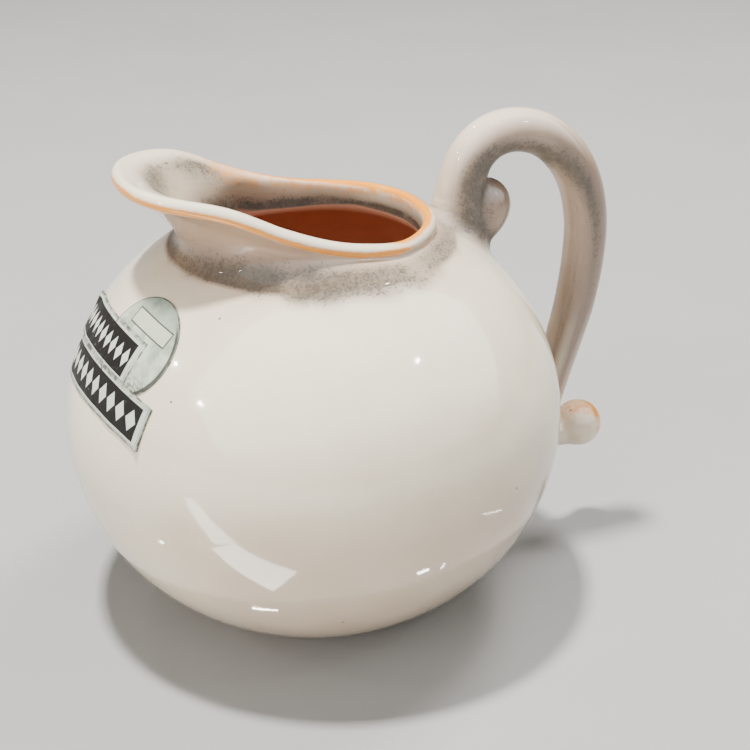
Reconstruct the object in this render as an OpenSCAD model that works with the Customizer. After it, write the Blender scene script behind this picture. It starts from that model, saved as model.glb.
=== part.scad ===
// Hand-thrown earthenware cream jug: a squat round bowl with a short neck and a pulled spout,
// a rolled loop handle with a curled upper end and a knobbed tail, and a paper price label.
// The jug stands on z = 0 with its axis on Z, the spout towards -X and the handle towards +X.

/* [Bowl] */
// Widest diameter of the bowl
bowl_d = 90; // [80:1:110]
// Height of the flattened ball that the bowl is part of
bowl_h = 80; // [72:1:96]
// Diameter of the flat foot
foot_d = 38; // [32:1:44]
// Depth of the shallow recess turned under the foot
foot_recess = 1; // [0.5:0.1:1.5]
// Thickness of the thrown wall
wall = 3.3; // [2.8:0.1:4]
// Thickness of the clay floor
floor_t = 4.2; // [3.5:0.1:6]

/* [Neck and spout] */
// Diameter on the shoulder where the neck turns up out of the bowl
neck_d = 50; // [46:1:54]
// Narrowest inside diameter of the neck
mouth_d = 38.6; // [36:0.2:40]
// Thickness of the rounded lip
lip_t = 2.5; // [2:0.1:3]
// Height of the lip above the shoulder at the back
neck_rise = 3.2; // [2.5:0.1:5]
// How far the spout is pulled out beyond the round lip
spout_reach = 12.2; // [6:0.1:14]
// How far the spout is pulled up above the back of the lip
spout_rise = 10.6; // [5:0.1:12]

/* [Handle] */
// Thickness of the rolled handle at its arch
handle_d = 8; // [7:0.1:9]
// Diameter of the ball at the end of the handle's tail
knob_d = 9.2; // [7:0.1:10]
// Diameter of the curl at the handle's upper end
curl_d = 9; // [7:0.1:9.6]

/* [Label] */
// Diameter of the label's round middle
label_d = 17.6; // [14:0.1:20]
// Angle of the label from the spout, towards -Y
label_turn = 11.2; // [0:0.1:30]
// Thickness of the label's paper and glue
label_t = 0.3; // [0.2:0.05:0.5]

/* [Hidden] */

glaze = "mistyrose";
slip = "bisque";
paper = "silver";

bowl_r = bowl_d / 2;
half_h = bowl_h / 2;
foot_r = foot_d / 2;
neck_r = neck_d / 2;
mouth_r = mouth_d / 2;
lip_r = lip_t / 2;

// Height of the bowl's widest circle, from where the flat foot cuts the ball
mid_z = half_h * sqrt(1 - pow(foot_r / bowl_r, 2));

// Inner ball: one half above the widest circle and a shallower one below it
inner_r = bowl_r - wall;
inner_up = half_h - wall;
inner_down = mid_z - floor_t;

// Shoulder point where the neck starts, and the slope of the ball there
neck_angle = acos(neck_r / bowl_r);
neck_z = half_h * sin(neck_angle);
neck_slope = atan2(half_h * cos(neck_angle), -bowl_r * sin(neck_angle));
inner_angle = acos(neck_r / inner_r);

// Narrowest circle of the mouth, just inside the shoulder, and how far outside it the lip's middle is
throat_z = neck_z - 0.3;
lip_out = 1.1;

// Width of the flat ring that the jug stands on
foot_ring = 4;

// The slip at the handle's lower end
lower_slip_d = 6.8;

// The label's middle: its share of the half height, its distance from the axis, and how far the
// skin there leans back from straight up
label_share = 0.55;
label_up = label_share * half_h;
label_out = bowl_r * sqrt(1 - pow(label_share, 2));
label_lean = atan2(label_out / pow(bowl_r, 2), label_up / pow(half_h, 2));

// The label's outline from its middle: a disc and two bands, all turned a little
label_tilt = -4;
disc_mid = [4.4, 2.3];
upper_band = [-20, -4.3, 26.9, 7.7];
lower_band = [-16.5, -11.5, 31.4, 7.4];

// Steps round the jug
turns = 60;
turn_step = 360 / turns;

// ---------- Helpers ----------

function ease(t) = let (u = min(max(t, 0), 1)) u * u * (3 - 2 * u);
function ramp(a, from, to) = ease((a - from) / (to - from));
function polar(r, a) = [r * cos(a), r * sin(a)];

function bezier(p, q, r, s, t) =
    pow(1 - t, 3) * p + 3 * t * pow(1 - t, 2) * q + 3 * t * t * (1 - t) * r + pow(t, 3) * s;

// Smooth curve from q to r that also looks at the points before and after them
function curve_at(p, q, r, s, t) =
    q + t / 2 * (r - p + t * (2 * p - 5 * q + 4 * r - s + t * (3 * q - p - 3 * r + s)));

// Points 1 to count - 1 along a curve, without its two ends
function between(p, q, r, s, count) = [for (i = [1 : count - 1]) bezier(p, q, r, s, i / count)];

// ---------- Profile of the jug at an angle a from the spout, 0 to 180 ----------
// Points are [radius, height above the widest circle].

// Share of the spout's reach and rise that the lip has every 20 degrees, from the spout to the back.
// The sides of the mouth are drawn in a little where the clay was pulled forward.
reach_share = [1, 0.92, 0.5, 0.1, -0.1, -0.13, -0.02, 0.01, 0.01, 0];
rise_share = [1, 1, 0.87, 0.47, 0.2, 0.05, -0.02, -0.01, 0, 0];

function share_at(v, a) =
    let (i = min(floor(a / 20), 8), far = i == 8 ? 8 : i + 2)
    curve_at(v[abs(i - 1)], v[i], v[i + 1], v[far], a / 20 - i);

function lip_mid(a) = [
    mouth_r + lip_out + spout_reach * share_at(reach_share, a),
    neck_z + neck_rise + spout_rise * share_at(rise_share, a)
];

function throat_r(a) = mouth_r + spout_reach * min(share_at(reach_share, a), 0);

// How far a profile is on its way from the round back of the mouth to the spout
function pull(a) = ramp(a, 100, 20);

// Slope of the lip above the horizontal: steep at the back, flaring at the sides and the spout
function lip_tilt(a) = 70 - 38 * ramp(a, 140, 90) - 10 * ramp(a, 60, 25);

// The wall thins into the lip, so its two faces lie at this angle to its middle
lip_taper = 7;

function outer_bowl() = [
    for (t = [0 : 1 / 20 : 1]) let (a = -asin(mid_z / half_h) * (1 - t) + neck_angle * t)
        [bowl_r * cos(a), half_h * sin(a)]
];

function outer_neck(a) =
    let (
        start = [neck_r, neck_z],
        slope = lip_tilt(a) + lip_taper,
        under = lip_mid(a) + polar(lip_r, slope - 90),
        leave = 2 + 2.5 * pull(a),
        arrive = 0.8 + 7.2 * pull(a)
    )
    between(start, start + polar(leave, neck_slope), under - polar(arrive, slope), under, 8);

function lip_edge(a) = [
    for (t = [0 : 1 / 6 : 1]) lip_mid(a) + polar(lip_r, lip_tilt(a) + (2 * t - 1) * (90 - lip_taper))
];

function inner_neck(a) =
    let (
        slope = lip_tilt(a) - lip_taper,
        top = lip_mid(a) + polar(lip_r, slope + 90),
        throat = [throat_r(a), throat_z],
        leave = 0.8 + 6.2 * pull(a),
        arrive = 1.5 + 4.5 * pull(a)
    )
    concat(between(top, top - polar(leave, slope), throat + [0, arrive], throat, 7), [throat]);

function inner_shoulder(a) =
    let (
        throat = [throat_r(a), throat_z],
        joint = [inner_r * cos(inner_angle), inner_up * sin(inner_angle)],
        slope = atan2(inner_up * cos(inner_angle), -inner_r * sin(inner_angle)),
        leave = 2,
        arrive = 2.5
    )
    between(throat, throat - [0, leave], joint + polar(arrive, slope), joint, 4);

function inner_bowl() = concat(
    [for (t = [0 : 1 / 8 : 0.999]) let (a = inner_angle * (1 - t))
        [inner_r * cos(a), inner_up * sin(a)]],
    [for (a = [0 : -7.5 : -82.5]) [inner_r * cos(a), inner_down * sin(a)]]
);

function profile(a) =
    concat(outer_bowl(), outer_neck(a), lip_edge(a), inner_neck(a), inner_shoulder(a), inner_bowl());

// ---------- Solids from rings of points ----------

// Closed skin over rings of equal length, from a bottom point to a top point
module skin(rings, bottom, top) {
    n = len(rings[0]);
    last = len(rings) - 1;
    points = concat([for (ring = rings) each ring], [bottom, top]);
    low = n * len(rings);
    faces = concat(
        [for (j = [0 : last - 1], i = [0 : n - 1]) let (k = (i + 1) % n)
            [j * n + i, (j + 1) * n + i, (j + 1) * n + k]],
        [for (j = [0 : last - 1], i = [0 : n - 1]) let (k = (i + 1) % n)
            [j * n + i, (j + 1) * n + k, j * n + k]],
        [for (i = [0 : n - 1]) [low, i, (i + 1) % n]],
        [for (i = [0 : n - 1]) [low + 1, last * n + (i + 1) % n, last * n + i]]
    );
    polyhedron(points, faces, convexity = 6);
}

// Turns per-angle profiles into rings; the spout is at 180 degrees from +X
function lathed(columns) = [
    for (j = [0 : len(columns[0]) - 1]) [
        for (i = [0 : turns - 1]) let (p = columns[i][j], a = turn_step * i)
            [p[0] * cos(a), p[0] * sin(a), p[1] + mid_z]
    ]
];

function from_spout(i) = abs(180 - turn_step * i);

// The back of the jug's outside as a solid wedge, used to fit the handle's pieces against it
module outside_back() {
    reach = 8;
    first_row = 6;
    columns = [for (i = [-reach : reach]) concat(outer_bowl(), outer_neck(180 - turn_step * abs(i)))];
    rings = [for (j = [first_row : len(columns[0]) - 1]) concat(
        [[0, 0, columns[0][j][1] + mid_z]],
        [for (i = [-reach : reach]) let (p = columns[i + reach][j], a = turn_step * i)
            [p[0] * cos(a), p[0] * sin(a), p[1] + mid_z]]
    )];
    skin(rings, [foot_r / 2, 0, rings[0][0][2]], [foot_r / 2, 0, rings[len(rings) - 1][0][2]]);
}

// A route is a list of [x, height above the widest circle, thickness] in the XZ plane
function smooth_route(v, steps) =
    let (n = len(v) - 1)
    concat([for (i = [0 : n - 1], t = [0 : 1 / steps : 0.999])
        curve_at(v[max(i - 1, 0)], v[i], v[i + 1], v[min(i + 2, n)], t)], [v[n]]);

// Round roll of clay along a route
module roll(route, sides) {
    last = len(route) - 1;
    rings = [for (i = [0 : last])
        let (
            ahead = route[min(i + 1, last)] - route[max(i - 1, 0)],
            tilt = atan2(ahead[1], ahead[0])
        )
        [for (s = [0 : sides - 1]) let (a = 360 * s / sides, r = route[i][2] / 2)
            [route[i][0] - r * cos(a) * sin(tilt), -r * sin(a),
             route[i][1] + r * cos(a) * cos(tilt) + mid_z]]];
    first_mid = [route[0][0], 0, route[0][1] + mid_z];
    last_mid = [route[last][0], 0, route[last][1] + mid_z];
    skin(rings, first_mid, last_mid);
}

// Part of the bowl's skin, grown outwards by a thickness, over ranges of rings and of turn steps
module skin_patch(from_row, to_row, from_turn, to_turn, thickness) {
    bowl = outer_bowl();
    rows = to_row - from_row + 1;
    cols = to_turn - from_turn + 1;
    size = rows * cols;
    points = [for (layer = [0, 1], i = [from_turn : to_turn], j = [from_row : to_row])
        let (
            p = bowl[j],
            lean = atan2(p[1] / pow(half_h, 2), p[0] / pow(bowl_r, 2)),
            q = p + layer * polar(thickness, lean),
            a = turn_step * i
        )
        [q[0] * cos(a), q[0] * sin(a), q[1] + mid_z]];
    function strip(a, b, c, d) = [[a, b, c], [a, c, d]];
    faces = [
        for (i = [0 : cols - 2], j = [0 : rows - 2]) let (k = i * rows + j)
            each concat(strip(size + k, size + k + 1, size + k + rows + 1, size + k + rows),
                        [[k, k + rows + 1, k + 1], [k, k + rows, k + rows + 1]]),
        for (j = [0 : rows - 2]) let (e = (cols - 1) * rows + j)
            each concat(strip(j, j + 1, size + j + 1, size + j),
                        strip(e + 1, e, size + e, size + e + 1)),
        for (i = [0 : cols - 2]) let (k = i * rows, e = k + rows - 1)
            each concat(strip(k + rows, k, size + k, size + k + rows),
                        strip(e, e + rows, size + e + rows, size + e))
    ];
    polyhedron(points, faces, convexity = 4);
}

// ---------- Sub-parts ----------

// The handle's pieces are laid out for a bowl 90 across and 80 high, and grow with it
function placed(p, girth) = [p[0] * bowl_r / 45, p[1] * half_h / 40, p[2] * girth];

handle_route = [for (p = [
    [27.2, 29.2, 11], [28.2, 32, 10.4], [28.2, 36, 9.6], [28.6, 40.5, 8.8], [30.4, 45, 8.3],
    [34, 48, 8.1], [39, 48.8, 8], [44.5, 47.2, 8], [49.2, 43.2, 8.1], [52.6, 37.4, 8.2],
    [54.3, 30, 8.2], [54.2, 22, 8.1], [53, 13.5, 7.8], [51.1, 6, 7.3], [49.2, -1, 6.8],
    [47.6, -7, 6.4], [46.9, -10.4, 6.1], [48.2, -13.5, 5.7], [51.2, -14.8, 5.2], [54.2, -14.2, 4.6]
]) placed(p, handle_d / 8)];

curl_route = [for (p = [[31, 26.8, 5.6], [32.2, 29.6, 5], [33.3, 32.8, 6.6], [33.6, 35.4, 7.2]])
    placed(p, curl_d / 9)];

upper_slip_route = [for (p = [[27, 29.2, 14], [27.9, 32.6, 13], [28, 35.4, 10.6]])
    placed(p, handle_d / 8)];

curl_mid = placed([33.6, 35.4, 0], 1);
knob_mid = placed([55.5, -13.3, 0], 1);
lower_slip_mid = placed([44.8, -9.4, 0], 1);

module handle_roll() roll(smooth_route(handle_route, 3), 18);

module curl_roll() {
    roll(smooth_route(curl_route, 3), 16);
    translate([curl_mid[0], 0, curl_mid[1] + mid_z]) sphere(d = curl_d, $fn = 40);
}

module jug_body() {
    columns = [for (i = [0 : turns - 1]) profile(from_spout(i))];
    color(glaze) difference() {
        skin(lathed(columns), [0, 0, 0], [0, 0, floor_t]);
        translate([0, 0, -1]) cylinder(h = 1 + foot_recess, r = foot_r - foot_ring, $fn = 80);
    }
}

module handle() {
    color(glaze) difference() {
        handle_roll();
        outside_back();
    }
}

module upper_curl() {
    color(glaze) difference() {
        curl_roll();
        handle_roll();
        outside_back();
    }
}

module lower_knob() {
    color(glaze) difference() {
        translate([knob_mid[0], 0, knob_mid[1] + mid_z]) sphere(d = knob_d, $fn = 48);
        handle_roll();
    }
}

module upper_slip_joint() {
    color(slip) difference() {
        roll(smooth_route(upper_slip_route, 3), 24);
        curl_roll();
        handle_roll();
        outside_back();
    }
}

module lower_slip_joint() {
    color(slip) difference() {
        translate([lower_slip_mid[0], 0, lower_slip_mid[1] + mid_z]) sphere(d = lower_slip_d, $fn = 40);
        handle_roll();
        outside_back();
    }
}

// Outline as it is cut, before it is stuck round the bowl
module label_outline() {
    module band(b) translate([b[0], b[1]]) square([b[2], b[3]]);
    rotate(label_tilt) {
        translate(disc_mid) circle(d = label_d, $fn = 60);
        band(upper_band);
        band(lower_band);
    }
}

module paper_label() {
    side = 180 + label_turn;
    mid_turn = round(side / turn_step);
    half_width = 7;
    rows = [8, 20];
    depth = 12;
    color(paper) intersection() {
        skin_patch(rows[0], rows[1], mid_turn - half_width, mid_turn + half_width, label_t);
        translate([label_out * cos(side), label_out * sin(side), label_up + mid_z])
            rotate([0, label_lean, side])
                translate([0, 0, -depth]) linear_extrude(2 * depth) rotate(90) label_outline();
    }
}

jug_body();
handle();
upper_curl();
lower_knob();
upper_slip_joint();
lower_slip_joint();
paper_label();
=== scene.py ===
import math

import bpy
import numpy as np
from mathutils import Matrix, Vector


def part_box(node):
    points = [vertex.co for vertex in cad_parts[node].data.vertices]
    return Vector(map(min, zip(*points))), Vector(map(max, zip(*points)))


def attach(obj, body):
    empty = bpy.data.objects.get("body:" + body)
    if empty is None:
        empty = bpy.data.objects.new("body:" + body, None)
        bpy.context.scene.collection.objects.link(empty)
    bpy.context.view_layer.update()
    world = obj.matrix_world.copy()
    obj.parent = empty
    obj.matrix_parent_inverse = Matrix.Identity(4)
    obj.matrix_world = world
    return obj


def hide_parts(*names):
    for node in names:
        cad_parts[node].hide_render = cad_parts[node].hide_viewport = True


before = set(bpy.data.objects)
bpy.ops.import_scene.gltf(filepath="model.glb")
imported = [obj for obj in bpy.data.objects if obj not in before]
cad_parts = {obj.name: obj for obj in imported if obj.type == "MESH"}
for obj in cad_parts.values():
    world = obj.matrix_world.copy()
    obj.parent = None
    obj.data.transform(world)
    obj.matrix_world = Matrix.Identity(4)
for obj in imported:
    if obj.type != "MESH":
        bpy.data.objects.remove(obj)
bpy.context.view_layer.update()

# ---------- Sizes, in the part's millimetres ----------

BOWL_R, HALF_H, FOOT_R = 45.0, 40.0, 19.0
WALL, FLOOR_T, FOOT_RECESS, FOOT_RING = 3.3, 4.2, 1.0, 4.0
NECK_R, MOUTH_R, NECK_RISE = 25.0, 19.3, 3.2
LIP_R, LIP_OUT, LIP_TAPER = 1.25, 1.1, 7.0
SPOUT_REACH, SPOUT_RISE = 12.2, 10.6

# Share of the spout's reach and rise that the lip has every 20 degrees, from the spout to the back
REACH_SHARE = (1, 0.92, 0.5, 0.1, -0.1, -0.13, -0.02, 0.01, 0.01, 0)
RISE_SHARE = (1, 1, 0.87, 0.47, 0.2, 0.05, -0.02, -0.01, 0, 0)

# Routes are x, height above the bowl's widest circle, and thickness
HANDLE_ROUTE = (
    (27.2, 29.2, 11), (28.2, 32, 10.4), (28.2, 36, 9.6), (28.6, 40.5, 8.8), (30.4, 45, 8.3),
    (34, 48, 8.1), (39, 48.8, 8), (44.5, 47.2, 8), (49.2, 43.2, 8.1), (52.6, 37.4, 8.2),
    (54.3, 30, 8.2), (54.2, 22, 8.1), (53, 13.5, 7.8), (51.1, 6, 7.3), (49.2, -1, 6.8),
    (47.6, -7, 6.4), (46.9, -10.4, 6.1), (48.2, -13.5, 5.7), (51.2, -14.8, 5.2), (54.2, -14.2, 4.6),
)
CURL_ROUTE = ((31, 26.8, 5.6), (32.2, 29.6, 5), (33.3, 32.8, 6.6), (33.6, 35.4, 7.2))
CURL_MID, CURL_R = (33.6, 0, 35.4), 4.5
KNOB_MID, KNOB_R = (55.5, 0, -13.3), 4.6

# The label: middle as a share of the half height, turn from the spout, and its printed outline
LABEL_SHARE, LABEL_TURN, LABEL_TILT = 0.55, 11.2, -4.0
DISC_MID, DISC_R = (4.4, 2.3), 8.8
UPPER_BAND = (-20.0, -4.3, 6.9, 3.4)
LOWER_BAND = (-16.5, -11.5, 14.9, -4.1)

# Lit strips on the floor: x, y, turn in degrees, length, width, and how brightly they glow
LOW_STRIPS = (
    (-107, -57, 5, 88, 13, 9),
    (-45, -50, 1, 34, 15, 10),
    (-24.5, -32, -39, 6.4, 0.6, 60),
    (16, -52, 10, 4, 1.6, 50),
    (22.8, -49, -40, 3, 0.8, 25),
    (59.5, -54.5, 72, 15, 0.8, 22),
    (-66.5, -18, 0, 2.5, 2, 40),
)

# Small lamps round the jug: azimuth and elevation in degrees
SMALL_LAMPS = ((-102, 34), (-77, 28), (-155, 52), (48, 44), (107, 61))

# ---------- Colours ----------

# The rose colours tint thinner glaze pink and also paint shade on the bowl's underside and under the lip and
# spout.
BODY_CREAM, BODY_ROSE_AND_SHADE = (0.87, 0.775, 0.60), (0.47, 0.315, 0.215)
HANDLE_CREAM, HANDLE_ROSE_AND_SHADE = (0.84, 0.72, 0.56), (0.34, 0.235, 0.175)
POOLED_BROWN = (0.088, 0.062, 0.038)
SPECKLE_DARK, SPECKLE_LIGHT = (0.022, 0.017, 0.011), (0.105, 0.08, 0.053)
THIN_DARK, THIN_LIGHT = (0.84, 0.26, 0.006), (0.92, 0.37, 0.03)
# The darker clay colour also paints shade deep inside the jug.
CLAY_FRESH, CLAY_DARK_AND_SHADE, CLAY_GRIT = (0.80, 0.39, 0.24), (0.24, 0.07, 0.033), (0.70, 0.34, 0.2)
PINHOLE = (0.12, 0.09, 0.07)
PAPER_DARK, PAPER_LIGHT, PAPER_BAND = (0.30, 0.35, 0.275), (0.53, 0.59, 0.48), (0.54, 0.57, 0.50)
PAPER_SHADE, PAPER_HATCH, PAPER_BOX = (0.20, 0.25, 0.21), (0.08, 0.08, 0.065), (0.50, 0.54, 0.42)
# The paper's dirt colour also paints the shadow along the disc's lower right edge.
PAPER_DIRT_AND_SHADOW, PAPER_SCUFF = (0.035, 0.033, 0.028), (0.40, 0.41, 0.36)
INK_DARK, INK_LIGHT = (0.006, 0.0055, 0.005), (0.022, 0.020, 0.018)
LOZENGE_DARK, LOZENGE_LIGHT = (0.50, 0.52, 0.46), (0.64, 0.66, 0.60)
FLOOR_DARK, FLOOR_LIGHT = (0.32, 0.32, 0.315), (0.36, 0.36, 0.355)
WARM_WHITE, WARMER_WHITE, COOL_WHITE = (1.0, 0.98, 0.95), (1.0, 0.96, 0.91), (0.86, 0.95, 1.0)
STRIP_WHITE = (1.0, 0.99, 0.93)

# ---------- Sizes that follow from the frame and the ones above ----------

low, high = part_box("jug_body")
MM = (high.y - low.y) / (2 * BOWL_R)
MID_Z = HALF_H * math.sqrt(1 - (FOOT_R / BOWL_R) ** 2)
INNER_R, INNER_UP, INNER_DOWN = BOWL_R - WALL, HALF_H - WALL, MID_Z - FLOOR_T
FOOT_ANGLE = -math.degrees(math.asin(MID_Z / HALF_H))
NECK_ANGLE = math.degrees(math.acos(NECK_R / BOWL_R))
NECK_Z = HALF_H * math.sin(math.radians(NECK_ANGLE))
THROAT_Z = NECK_Z - 0.3
INNER_ANGLE = math.degrees(math.acos(NECK_R / INNER_R))


# ---------- Curves ----------

def ease(t):
    u = np.clip(t, 0, 1)
    return u * u * (3 - 2 * u)


def ramp(value, start, end):
    return ease((value - start) / (end - start))


def bump_at(value, middle, width):
    return np.exp(-(((value - middle) / width) ** 2))


def polar(r, degrees):
    t = np.radians(degrees)
    return np.stack([r * np.cos(t), r * np.sin(t)], -1)


def curve_at(p, q, r, s, t):
    """Smooth curve from q to r that also looks at the points before and after them."""
    return q + t / 2 * (r - p + t * (2 * p - 5 * q + 4 * r - s + t * (3 * q - p - 3 * r + s)))


def bezier(p, q, r, s, t):
    """One curve per row of p, q, r and s, at each t."""
    p, q, r, s = (v[:, None, :] for v in np.broadcast_arrays(p, q, r, s))
    t = t[None, :, None]
    return (1 - t) ** 3 * p + 3 * t * (1 - t) ** 2 * q + 3 * t * t * (1 - t) * r + t ** 3 * s


def smooth_route(route, steps):
    v = np.array(route, float)
    n = len(v) - 1
    t = np.arange(steps)[:, None] / steps
    pieces = [curve_at(v[max(i - 1, 0)], v[i], v[i + 1], v[min(i + 2, n)], t) for i in range(n)]
    return np.concatenate(pieces + [v[n:]])


# ---------- The jug's profile at angles a from the spout, 0 to 180 ----------
# Points are radius and height above the widest circle; arrays are (angles, rows, 2).

def share_at(shares, a):
    v = np.array(shares, float)
    i = np.minimum(np.floor(a / 20).astype(int), 8)
    return curve_at(v[np.abs(i - 1)], v[i], v[i + 1], v[np.where(i == 8, 8, i + 2)], a / 20 - i)


def lip_mid(a):
    r = MOUTH_R + LIP_OUT + SPOUT_REACH * share_at(REACH_SHARE, a)
    return np.stack([r, NECK_Z + NECK_RISE + SPOUT_RISE * share_at(RISE_SHARE, a)], -1)


def throat(a):
    r = MOUTH_R + SPOUT_REACH * np.minimum(share_at(REACH_SHARE, a), 0)
    return np.stack([r, np.full_like(r, THROAT_Z)], -1)


def pull(a):
    return ramp(a, 100, 20)


def lip_tilt(a):
    return 70 - 38 * ramp(a, 140, 90) - 10 * ramp(a, 60, 25)


def under_foot(a, t):
    """From the middle of the recess under the foot to the bowl's outside."""
    floor, edge = -MID_Z, FOOT_ANGLE + 2.2
    recess_r = FOOT_R - FOOT_RING
    tangent = np.array([-BOWL_R * math.sin(math.radians(edge)), HALF_H * math.cos(math.radians(edge))])
    end = np.array([BOWL_R * math.cos(math.radians(edge)), HALF_H * math.sin(math.radians(edge))])
    corners = (
        ((0.3, floor + FOOT_RECESS), (recess_r - 1, floor + FOOT_RECESS), 6, 0),
        ((recess_r - 1, floor + FOOT_RECESS), (recess_r + 0.5, floor), 5, 0.5),
        ((recess_r + 0.5, floor), (FOOT_R - 0.8, floor), 4, 0),
    )
    rows = []
    for start, stop, count, bend in corners:
        s = np.arange(count)[:, None] / count
        rows.append(np.array(start) * (1 - s) + np.array(stop) * s + bend * s * (1 - s) * np.array([0, 1]))
    start = np.array([[FOOT_R - 0.8, floor]])
    round_off = np.linspace(0, 1, 7)[:-1]
    last = bezier(start, start + [[0.7, 0]], end[None] - 0.02 * tangent, end[None], round_off)[0]
    points = np.concatenate(rows + [last])
    return np.broadcast_to(points, (len(a),) + points.shape)


def outer_bowl(a, t):
    edge = FOOT_ANGLE + 2.2
    angle = np.radians(edge * (1 - t) + NECK_ANGLE * t)
    points = np.stack([BOWL_R * np.cos(angle), HALF_H * np.sin(angle)], -1)
    return np.broadcast_to(points, (len(a),) + points.shape)


def outer_neck(a, t):
    start = np.array([[NECK_R, NECK_Z]])
    n = math.radians(NECK_ANGLE)
    rise = math.degrees(math.atan2(HALF_H * math.cos(n), -BOWL_R * math.sin(n)))
    slope = lip_tilt(a) + LIP_TAPER
    under = lip_mid(a) + polar(LIP_R, slope - 90)
    leave, arrive = 2 + 2.5 * pull(a), 0.8 + 7.2 * pull(a)
    return bezier(start, start + polar(leave, np.full_like(a, rise)), under - polar(arrive, slope), under, t)


def lip_edge(a, t):
    slope = lip_tilt(a)[:, None] + (2 * t[None] - 1) * (90 - LIP_TAPER)
    return lip_mid(a)[:, None] + polar(LIP_R, slope)


def inner_neck(a, t):
    slope = lip_tilt(a) - LIP_TAPER
    top = lip_mid(a) + polar(LIP_R, slope + 90)
    leave, arrive = 0.8 + 6.2 * pull(a), 1.5 + 4.5 * pull(a)
    end = throat(a)
    lift = np.stack([np.zeros_like(a), arrive], -1)
    return bezier(top, top - polar(leave, slope), end + lift, end, t)


def inner_shoulder(a, t):
    n = math.radians(INNER_ANGLE)
    joint = np.array([[INNER_R * math.cos(n), INNER_UP * math.sin(n)]])
    slope = math.degrees(math.atan2(INNER_UP * math.cos(n), -INNER_R * math.sin(n)))
    start = throat(a)
    return bezier(start, start - [[0, 2]], joint + polar(2.5, slope), joint, t)


def inner_bowl(a, t):
    """The upper half of the inner ball, then the shallower lower half down to the floor."""
    angle = np.radians(INNER_ANGLE - (INNER_ANGLE + 89.4) * t)
    up = np.where(angle > 0, INNER_UP, INNER_DOWN)
    rings = 0.07 * np.sin(angle * 24) * ramp(np.degrees(angle), INNER_ANGLE, INNER_ANGLE - 12)
    r = (INNER_R + rings) * np.cos(angle)
    points = np.stack([r, (up + rings) * np.sin(angle)], -1)
    return np.broadcast_to(points, (len(a),) + points.shape)


# ---------- Where the glaze is speckled, thin, missing or pink, and where shade is painted ---

MARKS = ("speckle", "thin", "bare", "rose_and_shade")


def wander(x, y, seed):
    """Slow uneven value of about -1 to 1 over the plane."""
    total = 0
    for k in range(1, 5):
        total = total + np.sin(x * k * 0.9 + seed * 1.7 * k + 1.3 * np.sin(y * k * 0.7 + seed)) / k
    return total / 1.6


def crease_speckle_and_shadow(a):
    """How much the glaze is speckled where the neck meets the bowl: most under the spout's sides, where the
    extra is partly painted shadow of the spout.
    """
    return 0.8 + 0.35 * bump_at(a, 52, 34) - 0.15 * ramp(a, 130, 170)


def bowl_marks(a, h, around):
    """Outside of the bowl: speckle ends raggedly under the neck, and the low half is pinker and darker:
    painted shade where the bowl faces down, least on the spout side.
    """
    edge = 32.3 + 0.5 * wander(around / 7, h / 6, 1) - 1.5 * bump_at(a, 95, 40)
    speckle = crease_speckle_and_shadow(a) * ramp(h, edge, edge + 2) * (0.9 + 0.15 * wander(around / 9, h / 3, 2))
    # Painted shade: the underside of the bowl is tinted darker, least on the spout side.
    low_painted_shade = (0.75 * ramp(h, 8, -8) + 0.25 * ramp(h, -10, -30)) * (0.35 + 0.65 * ramp(a, 25, 65))
    rose_and_shade = 0.06 + 0.24 * ramp(h, 28, 33) + 0.62 * low_painted_shade + 0.06 * wander(around / 25, h / 14, 3)
    bare = ramp(h, -MID_Z + 0.75, -MID_Z + 0.55)
    return [speckle, np.zeros_like(h), bare, rose_and_shade]


def neck_marks(a, t, around):
    fade = 0.92 - 0.2 * ramp(a, 75, 35)
    speckle = crease_speckle_and_shadow(a) * ramp(t, fade, fade - 0.6) * (0.95 + 0.15 * wander(around / 8, t, 4))
    thin = 0.4 * ramp(t, 0.7, 1) * (0.6 + 0.4 * wander(around / 7, t, 5)) * ramp(a, 60, 120)
    # The pink tint rises towards the lip and under the spout: painted shade under the lip and the spout,
    # partly thinner glaze.
    return [speckle, thin, np.zeros_like(t), 0.5 + 0.3 * ramp(t, 0.2, 0.8) + 0.5 * ramp(a, 85, 50)]


def lip_marks(a, t, around):
    outer = 0.2 + 0.14 * ramp(a, 40, 0) + 0.03 * wander(around / 14, t, 6)
    side = 1.3 * bump_at(t, outer, 0.14 + 0.05 * ramp(a, 40, 0)) * ramp(a, 132, 104)
    side = side * (0.85 + 0.25 * wander(around / 6, t, 16))
    back = 1.3 * bump_at(t, 0.74, 0.22) * ramp(a, 104, 134) * (0.85 + 0.2 * wander(around / 9, t, 7))
    far = ramp(around, 30, 80) * ramp(t, 0.4, 0.62) * (0.5 + 0.22 * wander(around / 6, t * 3, 8))
    thin = np.clip(side + back + far, 0, 1)
    rose_and_shade = 0.06 + 0.5 * ramp(t, 0.28, 0) + 0.3 * ramp(a, 90, 140)
    rose_and_shade = rose_and_shade + 0.6 * ramp(around, 30, 65) * ramp(t, 0.35, 0.6)
    return [0.05 + 0 * t, thin, np.zeros_like(t), rose_and_shade]


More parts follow.
